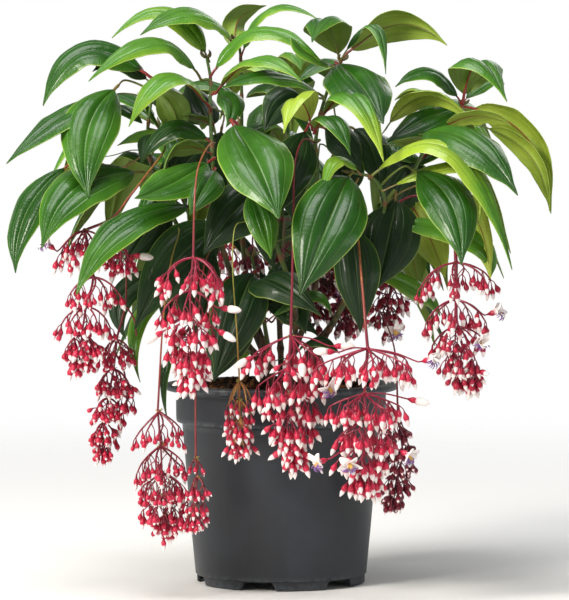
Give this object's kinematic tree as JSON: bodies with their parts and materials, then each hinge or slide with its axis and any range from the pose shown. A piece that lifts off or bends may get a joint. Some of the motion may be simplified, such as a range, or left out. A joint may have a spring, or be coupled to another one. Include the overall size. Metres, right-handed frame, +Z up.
{
  "type": "potted medinilla",
  "caption": "Tropical flowering house plant in a round plastic nursery pot, with broad pointed leaves and hanging sprays of pink-red buds.",
  "frame": {"origin": "middle of the pot's underside, on the surface that the pot stands on", "axes": "+Z up along the pot's axis; -Y is the front of the plant, towards the viewer; +X is to the viewer's right"},
  "size_m": [0.3927, 0.3748, 0.4259],
  "materials": {
    "plastic": "moulded dark slate-grey nursery plastic, faintly satin",
    "peat": "rough dark brown potting peat",
    "foliage": "leathery glossy green leaves on woody brown and green stems",
    "blossom": "waxy crimson-pink buds with pale tips"
  },
  "bodies": {
    "root": {"pot": "plastic", "soil": "peat", "spray_front": "blossom", "spray_front_left": "blossom", "spray_front_right": "blossom", "spray_left": "blossom", "spray_left_low": "blossom", "spray_middle": "blossom", "spray_pot_front": "blossom", "spray_pot_front_left": "blossom", "spray_pot_left": "blossom", "spray_rear_left": "blossom", "spray_rear_right": "blossom", "spray_right": "blossom", "spray_right_inner": "blossom", "spray_right_low": "blossom", "stem_centre": "foliage", "stem_crown": "foliage", "stem_front_left": "foliage", "stem_left": "foliage", "stem_low_front": "foliage", "stem_low_left": "foliage", "stem_rear": "foliage", "stem_rear_left": "foliage", "stem_rear_right": "foliage", "stem_right": "foliage", "stem_upper_left": "foliage", "stem_upper_right": "foliage"}
  },
  "joints": []
}
